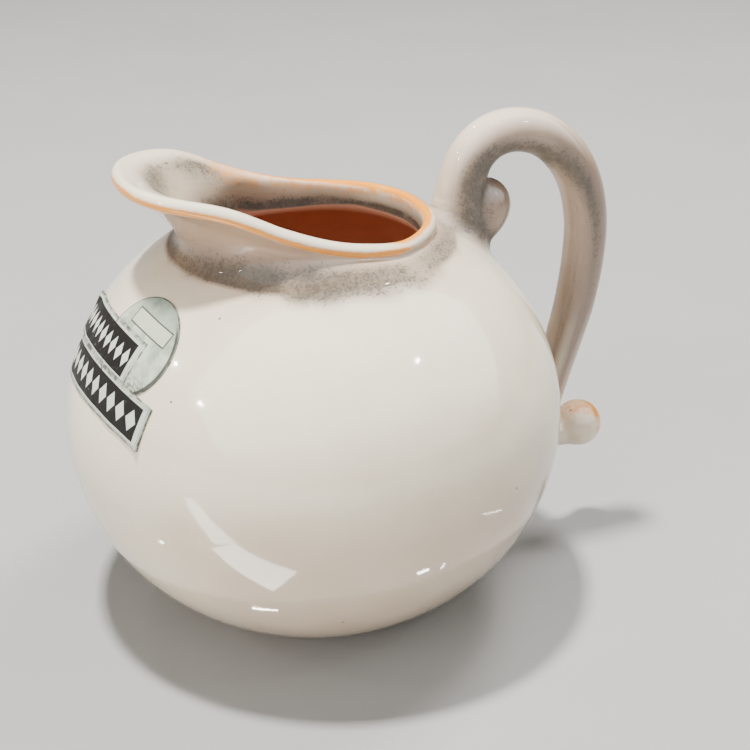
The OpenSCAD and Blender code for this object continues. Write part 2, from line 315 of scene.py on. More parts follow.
def channel_marks(a, t, around):
    patchy = 0.9 + 0.2 * wander(around / 8, t * 7, 9)
    spout = 0.95 * ramp(t, 0.06, 0.26) * (1 - 0.75 * bump_at(t, 0.55, 0.16)) + 0.3 * ramp(t, 0.72, 0.9)
    back = 0.16 * ramp(t, 0, 0.3) + 1.0 * ramp(t, 0.48, 0.84)
    far = ramp(a, 42, 80)
    speckle = (spout * (1 - far) + back * far) * patchy
    beyond = ramp(around, 25, 60)
    thin = 0.5 * ramp(t, 0.4, 0) * ramp(a, 80, 115) * (0.7 + 0.3 * wander(around / 6, t, 10))
    thin = np.maximum(thin, beyond * ramp(t, 0.75, 0.2) * (0.3 + 0.07 * wander(around / 5, t * 3, 17)))
    edge = 0.93 + 0.04 * wander(around / 10, t, 11)
    return [speckle, thin, ramp(t, edge, edge + 0.06), 0.2 + 0.3 * ramp(t, 0.1, 0.6)]


def shoulder_marks(a, t, around):
    return [0.3 * ramp(t, 0.25, 0), np.zeros_like(t), np.ones_like(t), 1 + 0 * t]


def inside_marks(a, t, around):
    """Bare clay that is darker towards the bottom: painted shade deep inside the jug."""
    return [0 * t, 0 * t, 1 + 0 * t, 1 - 0.85 * ramp(t, 0.2, 0.55)]


# ---------- Meshes ----------

def make_object(name, points, faces, smooth=True):
    mesh = bpy.data.meshes.new(name)
    mesh.from_pydata(points.tolist(), [], faces)
    mesh.polygons.foreach_set("use_smooth", [smooth] * len(mesh.polygons))
    mesh.update()
    piece = bpy.data.objects.new(name, mesh)
    bpy.context.scene.collection.objects.link(piece)
    return piece


def store_marks(piece, marks):
    for name, values in zip(MARKS, marks):
        layer = piece.data.attributes.new(name, "FLOAT", "POINT")
        layer.data.foreach_set("value", np.clip(values, 0, 1).astype(np.float32).ravel())


def to_metres(points):
    return (points + [0, 0, MID_Z]) * MM


def grid_faces(rows, columns):
    """Quads over rings of points, each ring closed, with a fan at both ends to two last points."""
    j, i = np.meshgrid(np.arange(rows - 1), np.arange(columns), indexing="ij")
    k = (i + 1) % columns
    quads = np.stack([j * columns + i, j * columns + k, (j + 1) * columns + k, (j + 1) * columns + i], -1)
    faces = quads.reshape(-1, 4).tolist()
    first, last, top = rows * columns, rows * columns + 1, (rows - 1) * columns
    for i in range(columns):
        k = (i + 1) % columns
        faces.append([first, k, i])
        faces.append([last, top + i, top + k])
    return faces


def jug_body():
    turns = 320
    around = 360 * np.arange(turns) / turns
    a = np.abs(180 - around)
    sections = (
        (under_foot, None, 0), (outer_bowl, bowl_marks, 92), (outer_neck, neck_marks, 26),
        (lip_edge, lip_marks, 14), (inner_neck, channel_marks, 34), (inner_shoulder, shoulder_marks, 10),
        (inner_bowl, inside_marks, 44),
    )
    points, marks = [], []
    for shape, mark, count in sections:
        t = np.arange(count) / max(count, 1)
        rows = shape(a, t)
        points.append(rows)
        side = np.where(around < 180, 1, -1)[:, None] * a[:, None] + np.zeros(rows.shape[:2])
        if mark is None:
            marks.append(np.stack([0 * side, 0 * side, 1 + 0 * side, 0.5 + 0 * side]))
        else:
            across = rows[..., 1] if mark is bowl_marks else t[None] + 0 * side
            marks.append(np.stack(mark(np.abs(side), across, side)))
    profile = np.concatenate(points, 1)
    marks = np.concatenate(marks, 2).transpose(0, 2, 1).reshape(len(MARKS), -1)
    angle = np.radians(around)[:, None]
    r, h = profile[..., 0], profile[..., 1]
    uneven = 0.07 * wander(3 * np.cos(angle) + h / 16, 3 * np.sin(angle), 12)
    r = r * (1 + uneven / BOWL_R * ramp(np.degrees(np.abs(angle - np.pi)), 148, 128) * ramp(h, -34, -25))
    rings = np.stack([r * np.cos(angle), r * np.sin(angle), h + 0 * r], -1).transpose(1, 0, 2)
    rows = rings.shape[0]
    ends = np.array([[0, 0, -MID_Z + FOOT_RECESS], [0, 0, FLOOR_T - MID_Z]])
    points = np.concatenate([rings.reshape(-1, 3), ends])
    marks = np.concatenate([marks, np.array([[0, 0], [0, 0], [1, 1], [0.5, 0.5]])], 1)
    piece = make_object("thrown_body", to_metres(points), grid_faces(rows, turns))
    store_marks(piece, marks)
    return piece


# ---------- Distances, for the places where soft clay runs together ----------

def polyline_distance(points, line):
    """Signed distance to a line of points in a plane; positive on the right of its direction."""
    best = np.full(len(points), 1e9)
    sign = np.ones(len(points))
    for p, q in zip(line[:-1], line[1:]):
        along = q - p
        to = points - p
        t = np.clip(to @ along / (along @ along), 0, 1)
        gap = to - t[:, None] * along
        d = np.hypot(gap[:, 0], gap[:, 1])
        nearer = d < best - 1e-9
        best = np.where(nearer, d, best)
        sign = np.where(nearer, np.sign(along[1] * to[:, 0] - along[0] * to[:, 1]), sign)
    return best * sign


class BodyField:
    """Distance from the outside of the jug at its back, with the mouth counted as solid."""

    step = 0.1
    low = np.array([14.0, -26.0])
    high = np.array([66.0, 52.0])

    def __init__(self):
        back = np.array([176.0])
        t = np.linspace(0, 1, 90)
        neck = np.concatenate([outer_neck(back, t[::4])[0][1:], lip_edge(back, t[::8] / 2)[0][1:]])
        line = np.concatenate([outer_bowl(back, t)[0], neck])
        line = np.concatenate([line, [[0, line[-1, 1]]]])
        counts = np.round((self.high - self.low) / self.step).astype(int) + 1
        r = self.low[0] + self.step * np.arange(counts[0])
        h = self.low[1] + self.step * np.arange(counts[1])
        grid = np.stack(np.meshgrid(r, h, indexing="ij"), -1)
        self.values = polyline_distance(grid.reshape(-1, 2), line).reshape(counts)

    def __call__(self, points):
        r = np.hypot(points[:, 0], points[:, 1])
        at = (np.stack([r, points[:, 2]], -1) - self.low) / self.step
        at = np.clip(at, 0, np.array(self.values.shape) - 1.001)
        i, j = at.astype(int).T
        u, v = (at - at.astype(int)).T
        low_side = self.values[i, j] * (1 - v) + self.values[i, j + 1] * v
        high_side = self.values[i + 1, j] * (1 - v) + self.values[i + 1, j + 1] * v
        return low_side * (1 - u) + high_side * u


class RollField:
    """Distance from a round roll along a route, and the place along and round it."""

    def __init__(self, route, steps=5):
        self.line = smooth_route(route, steps)
        self.ahead = np.diff(self.line, axis=0)

    def nearest(self, points):
        best = np.full(len(points), 1e9)
        place = np.zeros(len(points))
        flat = points[:, [0, 2]]
        for i, (p, step) in enumerate(zip(self.line[:-1], self.ahead)):
            to = flat - p[:2]
            t = np.clip(to @ step[:2] / (step[:2] @ step[:2]), 0, 1)
            gap = to - t[:, None] * step[:2]
            d = np.sqrt((gap ** 2).sum(1) + points[:, 1] ** 2) - (p[2] + t * step[2]) / 2
            nearer = d < best
            best = np.where(nearer, d, best)
            place = np.where(nearer, i + t, place)
        return best, place

    def __call__(self, points):
        return self.nearest(points)[0]

    def angle(self, points, place):
        """Degrees round the roll: 0 on the outside of the loop, 180 on its inside."""
        i = np.minimum(place.astype(int), len(self.ahead) - 1)
        ahead = self.ahead[i][:, :2]
        ahead = ahead / np.linalg.norm(ahead, axis=1)[:, None]
        mid = self.line[i][:, :2] + (place - i)[:, None] * self.ahead[i][:, :2]
        to = points[:, [0, 2]] - mid
        outward = to[:, 0] * -ahead[:, 1] + to[:, 1] * ahead[:, 0]
        return np.degrees(np.arctan2(-points[:, 1], outward))


class BallField:
    def __init__(self, middle, r, squash=(1, 1, 1)):
        self.middle, self.r, self.squash = np.array(middle, float), r, np.array(squash, float)

    def __call__(self, points):
        return np.linalg.norm((points - self.middle) / self.squash, axis=1) - self.r


def smooth_min(a, b, k):
    """The lesser of two distances, rounded where they are within k of each other."""
    h = np.maximum(k - np.abs(a - b), 0) / k
    return np.minimum(a, b) - h * h * k / 4


def gradient(field, points):
    e = 0.02
    sides = []
    for axis in range(3):
        offset = np.zeros(3)
        offset[axis] = e
        sides.append((field(points + offset) - field(points - offset)) / (2 * e))
    return np.stack(sides, -1)


COARSE = 4


def sample(field, grid, band):
    """The field on a grid: every few points first, and then all points within a band of its surface."""
    coarse = grid[::COARSE, ::COARSE, ::COARSE]
    values = field(coarse.reshape(-1, 3)).reshape(coarse.shape[:3])
    for axis in range(3):
        nearest = np.round(np.arange(grid.shape[axis]) / COARSE).astype(int)
        values = np.take(values, nearest, axis)
    close = np.abs(values) < band
    values[close] = field(grid[close])
    return values


def surface_nets(field, lows, highs, step):
    """Closed mesh of quads where a field is zero: one point in each grid cell that the surface crosses."""
    counts = [int(math.ceil((b - a) / step / COARSE)) * COARSE + 1 for a, b in zip(lows, highs)]
    index = np.stack(np.meshgrid(*[np.arange(n) for n in counts], indexing="ij"), -1)
    values = sample(field, np.array(lows) + index * step, 2 * COARSE * step)
    cells = [n - 1 for n in counts]
    total, hits = np.zeros(cells + [3]), np.zeros(cells)
    crossings = []
    for axis in range(3):
        near = np.take(values, np.arange(cells[axis]), axis)
        far = np.take(values, np.arange(1, counts[axis]), axis)
        crosses = (near < 0) != (far < 0)
        share = np.where(crosses, near / np.where(crosses, near - far, 1), 0)
        crossings.append((crosses, near < 0))
        others = ((axis + 1) % 3, (axis + 2) % 3)
        for b in (0, 1):
            for c in (0, 1):
                cut = [slice(None)] * 3
                cut[others[0]] = slice(b, b + cells[others[0]])
                cut[others[1]] = slice(c, c + cells[others[1]])
                on = crosses[tuple(cut)]
                hits += on
                total[..., axis] += on * share[tuple(cut)]
                total[..., others[0]] += on * b
                total[..., others[1]] += on * c
    used = hits > 0
    number = np.full(cells, -1)
    number[used] = np.arange(used.sum())
    cell_index = index[: cells[0], : cells[1], : cells[2]][used]
    points = np.array(lows) + (cell_index + total[used] / hits[used][:, None]) * step
    faces = []
    for axis in range(3):
        crosses, inside = crossings[axis]
        others = ((axis + 1) % 3, (axis + 2) % 3)
        at = np.argwhere(crosses)
        keep = np.ones(len(at), bool)
        for o in others:
            keep &= (at[:, o] > 0) & (at[:, o] < counts[o] - 1)
        at = at[keep]
        corners = []
        for b, c in ((1, 1), (0, 1), (0, 0), (1, 0)):
            corner = at.copy()
            corner[:, others[0]] -= b
            corner[:, others[1]] -= c
            corners.append(number[tuple(corner.T)])
        quads = np.stack(corners, -1)
        outward = inside[tuple(at.T)]
        quads[~outward] = quads[~outward][:, ::-1]
        faces.append(quads)
    return points, np.concatenate(faces).tolist()


# ---------- The handle and the pieces that are pressed on ----------

BODY = BodyField()
HANDLE = RollField(HANDLE_ROUTE)
CURL_ROLL = RollField(CURL_ROUTE)
CURL_BALL = BallField(CURL_MID, CURL_R, (0.92, 0.9, 1.06))
KNOB_BALL = BallField(KNOB_MID, KNOB_R)
SLIP_K = 3.2
SKIN = 0.04


def clay(points):
    """The bowl with the handle luted on."""
    return smooth_min(HANDLE(points), BODY(points), SLIP_K)


def curl(points):
    return smooth_min(CURL_ROLL(points), CURL_BALL(points), 2.0)


def handle_marks(place, angle):
    """Marks on the handle: speckle inside the root and the arch, streaks down the outer limb."""
    u = place / (len(HANDLE.line) - 1)
    turn = np.abs(angle)
    start = 28 + 46 * ramp(u, 0.16, 0.32)
    inside = ramp(turn, start, start + 52) * ramp(u, 0, 0.04) * ramp(u, 0.46, 0.38)
    middle = 122 - 38 * ramp(u, 0.36, 0.56)
    band = bump_at(turn, middle, 44 - 18 * ramp(u, 0.38, 0.55)) * ramp(u, 0.34, 0.4) * ramp(u, 0.7, 0.42)
    speckle = np.maximum(inside, band) * (0.95 + 0.12 * wander(turn / 22, u * 60, 13))
    streak = bump_at(turn, 85, 15) + 0.8 * bump_at(turn, 138, 13)
    streak = streak * ramp(u, 0.42, 0.54) * ramp(u, 0.95, 0.74)
    dusting = 0.22 * ramp(turn, 30, 60) * ramp(u, 0.4, 0.5) * ramp(u, 0.84, 0.6)
    speckle = np.clip(np.maximum(speckle, dusting) + 0.16 * streak, 0, 1)
    rose_and_shade = 0.25 + 0.6 * ramp(turn, 20, 75) * ramp(u, 0.55, 0.35) + 0.7 * ramp(u, 0.34, 0.52) + 0.5 * streak
    rose_and_shade = rose_and_shade - 0.45 * ramp(u, 0.58, 0.72)
    rose_and_shade = rose_and_shade - 0.85 * ramp(u, 0.86, 0.95)
    thin = 0.2 * ramp(u, 0.6, 0.82) * ramp(u, 0.9, 0.86) + 0.1 * bump_at(u, 0.4, 0.1) * ramp(turn, 60, 20)
    return [speckle, thin, 0 * u, np.clip(rose_and_shade, 0, 1)]


def clay_marks(points):
    """Marks where the handle and the bowl run together."""
    near_handle, place = HANDLE.nearest(points)
    near_body = BODY(points)
    around = np.degrees(np.arctan2(points[:, 1], points[:, 0]))
    a = 180 - np.abs(around)
    h = points[:, 2]
    on_bowl = bowl_marks(a, np.minimum(h, NECK_Z), np.where(around >= 0, a, -a))
    on_neck = neck_marks(a, ramp(h, NECK_Z, NECK_Z + 3), np.where(around >= 0, a, -a))
    on_handle = handle_marks(place, HANDLE.angle(points, place))
    share = ramp(near_body - near_handle, -SLIP_K, SLIP_K)
    high = ramp(h, NECK_Z - 0.5, NECK_Z + 0.5)
    merged = []
    for bowl, neck, roll in zip(on_bowl, on_neck, on_handle):
        merged.append((bowl * (1 - high) + neck * high) * (1 - share) + roll * share)
    return merged


def fluted(place, angle):
    """How far the pulled clay's long shallow grooves go in."""
    u = place / (len(HANDLE.line) - 1)
    turn = np.abs(angle)
    grooves = 0.26 * bump_at(turn, 85, 17) + 0.2 * bump_at(turn, 141, 14)
    return grooves * ramp(u, 0.36, 0.5) * ramp(u, 0.86, 0.7)


def handle():
    """A round roll swept along its route; its lower rings follow the bowl's skin where it starts."""
    steps, sides, depth = 14, 64, 1.3
    line = smooth_route(HANDLE_ROUTE, steps)
    ahead = np.gradient(line[:, :2], axis=0)
    ahead = ahead / np.linalg.norm(ahead, axis=1)[:, None]
    place = np.arange(len(line)) * (len(HANDLE.line) - 1) / (len(line) - 1)
    angle = 360 * np.arange(sides) / sides
    angle = np.where(angle > 180, angle - 360, angle)
    turn = np.radians(angle)[None]
    r = line[:, 2:3] / 2 - fluted(place[:, None], angle[None])
    rings = np.stack([
        line[:, :1] - r * np.cos(turn) * ahead[:, 1:],
        -r * np.sin(turn),
        line[:, 1:2] + r * np.cos(turn) * ahead[:, :1],
    ], -1)
    count = 6 * steps
    depths = BODY(rings[:count].reshape(-1, 3)).reshape(count, sides)
    index = np.arange(count)
    rooted = rings.copy()
    for s in range(sides):
        start = np.interp(-depth, depths[:, s], index)
        at = start + (count - 1 - start) * index / (count - 1)
        for axis in range(3):
            rooted[:count, s, axis] = np.interp(at, index, rings[:count, s, axis])
    flat = rooted.reshape(-1, 3)
    ends = np.array([rooted[0].mean(0) - [0, 0, 0.4], rooted[-1].mean(0)])
    points = np.concatenate([flat, ends])
    piece = make_object("handle_roll", to_metres(points), grid_faces(len(line), sides))
    store_marks(piece, clay_marks(points))
    return piece


def pressed_piece(name, field, visible, lows, highs, step, marks):
    """A piece of a joint as a closed mesh, shaded by the surface that it shows."""
    points, faces = surface_nets(field, lows, highs, step)
    for _ in range(3):
        value, slope = visible(points), gradient(visible, points)
        shown = np.abs(field(points) - value) < 1e-6
        move = value / np.maximum((slope ** 2).sum(1), 0.25) * shown
        points = points - np.clip(move, -step, step)[:, None] * slope
    normals = gradient(visible, points)
    normals /= np.maximum(np.linalg.norm(normals, axis=1), 1e-6)[:, None]
    piece = make_object(name, to_metres(points), faces)
    piece.data.normals_split_custom_set_from_vertices(normals.tolist())
    store_marks(piece, marks(points))
    return piece


def slip_joint(name, lows, highs):
    """Clay slip smeared into the corner between the handle and the bowl."""
    def visible(points):
        return clay(points) - SKIN

    def field(points):
        body = BODY(points)
        corner = np.abs(HANDLE(points) - body) - SLIP_K * 0.98
        return np.maximum(np.maximum(visible(points), corner), -body - 1.1)

    return pressed_piece(name, field, visible, lows, highs, 0.25, clay_marks)


def blended_piece(name, ball, k, lows, highs, own_marks):
    """A lump of clay pressed onto the jug, melted into it a little by the glaze."""
    def visible(points):
        return smooth_min(ball(points), clay(points), k) - SKIN * 1.5

    def field(points):
        base = clay(points)
        edge = ball(points) - base - k * 0.98
        return np.maximum(np.maximum(visible(points), edge), -base - 1.1)

    def marks(points):
        share = ramp(clay(points) - ball(points), -k, k * 0.6)
        return [old * (1 - share) + new * share for old, new in zip(clay_marks(points), own_marks(points))]

    return pressed_piece(name, field, visible, lows, highs, 0.25, marks)


def curl_marks(points):
    h, x = points[:, 2], points[:, 0]
    speckle = 0.45 * ramp(x, 35.5, 31.5) + 0.6 * ramp(h, 33, 29)
    return [0.2 + speckle, 0.06 * ramp(h, 34, 38), 0 * h, 0.95 + 0 * h]


def knob_marks(points):
    up = (points - np.array(KNOB_MID)) / KNOB_R
    side = ramp(up[:, 0], 0.1, 0.9) * ramp(up[:, 2], -0.6, 0)
    return [0 * side, 0.42 * side + 0.3 * ramp(up[:, 2], 0.2, 0.9), 0 * side, 0.15 * side]


# ---------- The paper label ----------

def inside_band(u, v, band):
    return (u > band[0]) & (u < band[2]) & (v > band[1]) & (v < band[3])


def grid_lines(start, stop, cuts, step):
    """Evenly spaced lines, with one exactly at each cut."""
    stops = sorted({start, stop, *cuts})
    lines = [start]
    for a, b in zip(stops[:-1], stops[1:]):
        count = max(1, round((b - a) / step))
        lines += [a + (b - a) * (i + 1) / count for i in range(count)]
    return np.array(lines)


def label_frame():
    side = math.radians(180 + LABEL_TURN)
    up, out = LABEL_SHARE * HALF_H, BOWL_R * math.sqrt(1 - LABEL_SHARE ** 2)
    lean = math.atan2(out / BOWL_R ** 2, up / HALF_H ** 2)
    middle = np.array([out * math.cos(side), out * math.sin(side), up])
    normal = np.array([math.sin(lean) * math.cos(side), math.sin(lean) * math.sin(side), math.cos(lean)])
    right = np.array([-math.sin(side), math.cos(side), 0.0])
    return middle, normal, right, np.cross(normal, right)


def on_bowl(points, normal):
    """Moves points along a direction until they lie on the bowl; also gives the bowl's own normal there."""
    scale = np.array([BOWL_R, BOWL_R, HALF_H])
    p, n = points / scale, normal / scale
    a, b, c = n @ n, 2 * p @ n, (p ** 2).sum(1) - 1
    s = (-b + np.sqrt(np.maximum(b * b - 4 * a * c, 0))) / (2 * a)
    at = points + s[:, None] * normal
    out = at / scale ** 2
    return at, out / np.linalg.norm(out, axis=1)[:, None]


def paper_label():
    disc = (DISC_MID[0] - DISC_R, DISC_MID[1] - DISC_R, DISC_MID[0] + DISC_R, DISC_MID[1] + DISC_R)
    boxes = (UPPER_BAND, LOWER_BAND, disc)
    u_cuts = [b[i] for b in boxes[:2] for i in (0, 2)]
    v_cuts = [b[i] for b in boxes[:2] for i in (1, 3)]
    us = grid_lines(min(b[0] for b in boxes), max(b[2] for b in boxes), u_cuts, 0.3)
    vs = grid_lines(min(b[1] for b in boxes), max(b[3] for b in boxes), v_cuts, 0.3)
    u_mid, v_mid = np.meshgrid((us[1:] + us[:-1]) / 2, (vs[1:] + vs[:-1]) / 2, indexing="ij")
    in_disc = np.hypot(u_mid - DISC_MID[0], v_mid - DISC_MID[1]) < DISC_R
    filled = inside_band(u_mid, v_mid, UPPER_BAND) | inside_band(u_mid, v_mid, LOWER_BAND) | in_disc
    padded = np.pad(filled, 1)
    around = np.stack([padded[1:, 1:], padded[:-1, 1:], padded[1:, :-1], padded[:-1, :-1]]).sum(0)
    u, v = np.meshgrid(us, vs, indexing="ij")
    e = 1e-6
    in_bands = np.zeros(u.shape, bool)
    for b in (UPPER_BAND, LOWER_BAND):
        in_bands |= (u > b[0] - e) & (u < b[2] + e) & (v > b[1] - e) & (v < b[3] + e)
    snap = (around > 0) & (around < 4) & ~in_bands
    reach = np.hypot(u - DISC_MID[0], v - DISC_MID[1])
    u = np.where(snap, DISC_MID[0] + (u - DISC_MID[0]) * DISC_R / reach, u)
    v = np.where(snap, DISC_MID[1] + (v - DISC_MID[1]) * DISC_R / reach, v)
    used = around > 0
    number = np.full(u.shape, -1)
    number[used] = np.arange(used.sum())
    u, v = u[used], v[used]
    tilt = math.radians(LABEL_TILT)
    middle, normal, right, up = label_frame()
    across, above = u * math.cos(tilt) - v * math.sin(tilt), u * math.sin(tilt) + v * math.cos(tilt)
    flat = middle + across[:, None] * right + above[:, None] * up
    skin, out = on_bowl(flat, normal)
    crease = 0.05 * wander(u / 3, v / 3, 14) + 0.03 * wander(u, v, 15)
    lift = 0.55 * ramp(u, -17.5, -20) * ramp(v, -1, 3.4) + 0.25 * ramp(u, 13.6, 14.9) * ramp(v, -9, -11.5)
    top = skin + (0.24 + crease + lift)[:, None] * out
    base = skin + (-0.15 + 0.85 * lift)[:, None] * out
    i, j = np.nonzero(filled)
    quads = np.stack([number[i, j], number[i + 1, j], number[i + 1, j + 1], number[i, j + 1]], -1)
    count = len(u)
    edges = np.concatenate([quads[:, [k, (k + 1) % 4]] for k in range(4)])
    keys = set(map(tuple, edges.tolist()))
    rim = [(p, q) for p, q in keys if (q, p) not in keys]
    walls = [[q, p, p + count, q + count] for p, q in sorted(rim)]
    faces = quads.tolist() + (quads[:, ::-1] + count).tolist() + walls
    piece = make_object("price_label", to_metres(np.concatenate([top, base])), faces)
    layer = piece.data.uv_layers.new(name="print")
    corner = np.zeros(len(piece.data.loops), np.int32)
    piece.data.loops.foreach_get("vertex_index", corner)
    uv = np.stack([np.tile(u, 2), np.tile(v, 2)], -1)[corner]
    layer.data.foreach_set("uv", uv.astype(np.float32).ravel())
    return piece


# ---------- Materials ----------

class Nodes:
    """A material's node tree with one principled shader, and short ways to add nodes."""

    def __init__(self, name):
        self.material = bpy.data.materials.new(name)
        self.material.use_nodes = True
        self.tree = self.material.node_tree
        self.tree.nodes.clear()
        self.shader = self.add("ShaderNodeBsdfPrincipled")
        output = self.add("ShaderNodeOutputMaterial")
        self.tree.links.new(self.shader.outputs[0], output.inputs[0])

    def add(self, kind):
        return self.tree.nodes.new(kind)

    def put(self, socket, value):
        if isinstance(value, bpy.types.NodeSocket):
            self.tree.links.new(value, socket)
        elif isinstance(value, tuple) and len(value) == 3 and socket.type == "RGBA":
            socket.default_value = (*value, 1)
        else:
            socket.default_value = value

    def set(self, **values):
        for name, value in values.items():
            self.put(self.shader.inputs[name.replace("_", " ")], value)

    def math(self, operation, a, b=0.0, c=0.0, clamp=False):
        node = self.add("ShaderNodeMath")
        node.operation = operation
        node.use_clamp = clamp
        for socket, value in zip(node.inputs, (a, b, c)):
            self.put(socket, value)
        return node.outputs[0]

    def step(self, value, start, end):
        """0 before start, 1 after end, smooth between; start may be a socket."""
        node = self.add("ShaderNodeMapRange")
        node.interpolation_type = "SMOOTHSTEP"
        for name, v in (("Value", value), ("From Min", start), ("From Max", end)):
            self.put(node.inputs[name], v)
        return node.outputs[0]

    def mix(self, factor, a, b):
        node = self.add("ShaderNodeMix")
        node.data_type = "RGBA"
        self.put(node.inputs[0], factor)
        self.put(node.inputs[6], a)
        self.put(node.inputs[7], b)
        return node.outputs[2]

    def mark(self, name):
        node = self.add("ShaderNodeAttribute")
        node.attribute_name = name
        return node.outputs["Fac"]

    def noise(self, size, detail=2.0, roughness=0.5, stretch=None):
        """Noise whose lumps are about size millimetres across."""
        coords = self.add("ShaderNodeTexCoord").outputs["Object"]
        if stretch:
            scale = self.add("ShaderNodeMapping")
            scale.inputs["Scale"].default_value = stretch
            self.put(scale.inputs["Vector"], coords)
            coords = scale.outputs[0]
        node = self.add("ShaderNodeTexNoise")
        self.put(node.inputs["Vector"], coords)
        node.inputs["Scale"].default_value = 1 / (size * MM)
        node.inputs["Detail"].default_value = detail
        node.inputs["Roughness"].default_value = roughness
        return node.outputs["Fac"]

    def pinholes(self, spacing, size):
        """1 in a few tiny dots, one in most cells that are spacing millimetres across."""
        coords = self.add("ShaderNodeTexCoord").outputs["Object"]
        node = self.add("ShaderNodeTexVoronoi")
        self.put(node.inputs["Vector"], coords)
        node.inputs["Scale"].default_value = 1 / (spacing * MM)
        edge = size / spacing
        return self.math("SUBTRACT", 1.0, self.step(node.outputs["Distance"], 0.6 * edge, edge))

    def bump(self, height, strength, distance):
        node = self.add("ShaderNodeBump")
        node.inputs["Strength"].default_value = strength
        node.inputs["Distance"].default_value = distance * MM
        self.put(node.inputs["Height"], height)
        self.put(self.shader.inputs["Normal"], node.outputs[0])


def glaze(name, cream, rose_and_shade):
    """Milky glaze over red clay: pink where it is thinner, orange at edges, speckled where it pooled; the
    pink tint also holds painted shade, and bare clay is darkened as painted shade deep inside.
    """
    m = Nodes(name)
    speckle, thin, bare = m.mark("speckle"), m.mark("thin"), m.mark("bare")
    cloud = m.noise(9, 3)
    # The pink tint also darkens the bowl's underside and the neck under the lip and spout: painted shade.
    tint = m.math("ADD", m.mark("rose_and_shade"), m.math("MULTIPLY_ADD", cloud, 0.3, -0.15), clamp=True)
    colour = m.mix(tint, cream, rose_and_shade)
    fine, clump = m.noise(0.5, 2, 0.7), m.noise(1.4, 3, 0.6)
    grain = m.math("MULTIPLY_ADD", clump, 0.35, m.math("MULTIPLY", fine, 0.65))
    limit = m.math("MULTIPLY_ADD", speckle, -0.24, 0.63)
    dots = m.step(grain, limit, m.math("ADD", limit, 0.19))
    shade = m.mix(m.noise(1.2, 2), SPECKLE_DARK, SPECKLE_LIGHT)
    veil = m.math("MULTIPLY", m.math("POWER", speckle, 1.15), 0.92)
    colour = m.mix(veil, colour, POOLED_BROWN)
    colour = m.mix(m.math("MULTIPLY", dots, 0.78), colour, shade)
    orange = m.mix(m.noise(3.0, 3), THIN_DARK, THIN_LIGHT)
    rough_edge = m.math("MULTIPLY_ADD", m.noise(1.1, 3), 0.5, m.math("ADD", thin, -0.25))
    colour = m.mix(m.math("MULTIPLY", m.step(rough_edge, 0.08, 0.55), 0.97), colour, orange)
    # Bare clay follows the pink tint: where it is low, deep inside the jug, the clay is darkened as painted
    # shade; streaky noise varies it.
    clay_light_share = m.math("MULTIPLY", m.mark("rose_and_shade"), 0.7)
    clay_light_share = m.math("MULTIPLY_ADD", m.noise(6, 4, stretch=(1, 1, 3)), 0.3, clay_light_share)
    clay_tone = m.mix(clay_light_share, CLAY_DARK_AND_SHADE, CLAY_FRESH)
    clay_tone = m.mix(m.step(m.noise(0.5, 2), 0.6, 0.75), clay_tone, CLAY_GRIT)
    colour = m.mix(bare, colour, clay_tone)
    holes = m.pinholes(9.5, 0.3)
    colour = m.mix(m.math("MULTIPLY", holes, 0.85), colour, PINHOLE)
    roughness = m.math("MULTIPLY_ADD", bare, 0.35, m.math("MULTIPLY_ADD", m.noise(5, 3), 0.08, 0.05))
    roughness = m.math("MULTIPLY_ADD", speckle, 0.6, roughness)
    m.set(Base_Color=colour, Roughness=roughness, IOR=1.6, Coat_Weight=0.3, Coat_Roughness=0.03, Coat_IOR=1.5)
    peel = m.math("MULTIPLY_ADD", dots, -0.12, m.noise(2.2, 2))
    surface = m.math("MULTIPLY_ADD", m.noise(0.35, 2), m.math("MULTIPLY", bare, 0.3), peel)
    m.bump(surface, 0.12, 0.12)
    return m.material


class LabelPrint(Nodes):
    """Shapes printed on the label, in its own millimetres."""

    def __init__(self, name):
        super().__init__(name)
        uv = self.add("ShaderNodeUVMap")
        uv.uv_map = "print"
        split = self.add("ShaderNodeSeparateXYZ")
        self.put(split.inputs[0], uv.outputs[0])
        self.u, self.v = split.outputs[0], split.outputs[1]

    def from_middle(self, value, middle, half):
        away = self.math("ABSOLUTE", self.math("SUBTRACT", value, middle))
        return self.math("SUBTRACT", away, half)

    def box(self, u0, v0, u1, v1):
        """Distance outside a box, negative inside it."""
        across = self.from_middle(self.u, (u0 + u1) / 2, (u1 - u0) / 2)
        return self.math("MAXIMUM", across, self.from_middle(self.v, (v0 + v1) / 2, (v1 - v0) / 2))

    def disc(self, u, v, r):
        p = self.math("SUBTRACT", self.u, u)
        q = self.math("SUBTRACT", self.v, v)
        reach = self.math("SQRT", self.math("ADD", self.math("MULTIPLY", p, p), self.math("MULTIPLY", q, q)))
        return self.math("SUBTRACT", reach, r)

    def fill(self, distance, soft=0.05):
        return self.math("SUBTRACT", 1.0, self.step(distance, -soft, soft))

    def line(self, distance, width):
        return self.fill(self.math("SUBTRACT", self.math("ABSOLUTE", distance), width / 2))

    def lozenges(self, v, start, spacing, wide, tall):
        """A row of lozenges, its first cell at start and its middle line at v."""
        cell = self.math("SUBTRACT", self.u, start)
        cell = self.math("MODULO", self.math("ADD", cell, 100 * spacing), spacing)
        place = self.math("SUBTRACT", cell, spacing / 2)
        across = self.math("DIVIDE", self.math("ABSOLUTE", place), wide / 2)
        up = self.math("DIVIDE", self.math("ABSOLUTE", self.math("SUBTRACT", self.v, v)), tall / 2)
        return self.fill(self.math("MULTIPLY", self.math("SUBTRACT", self.math("ADD", across, up), 1.0), 0.8))


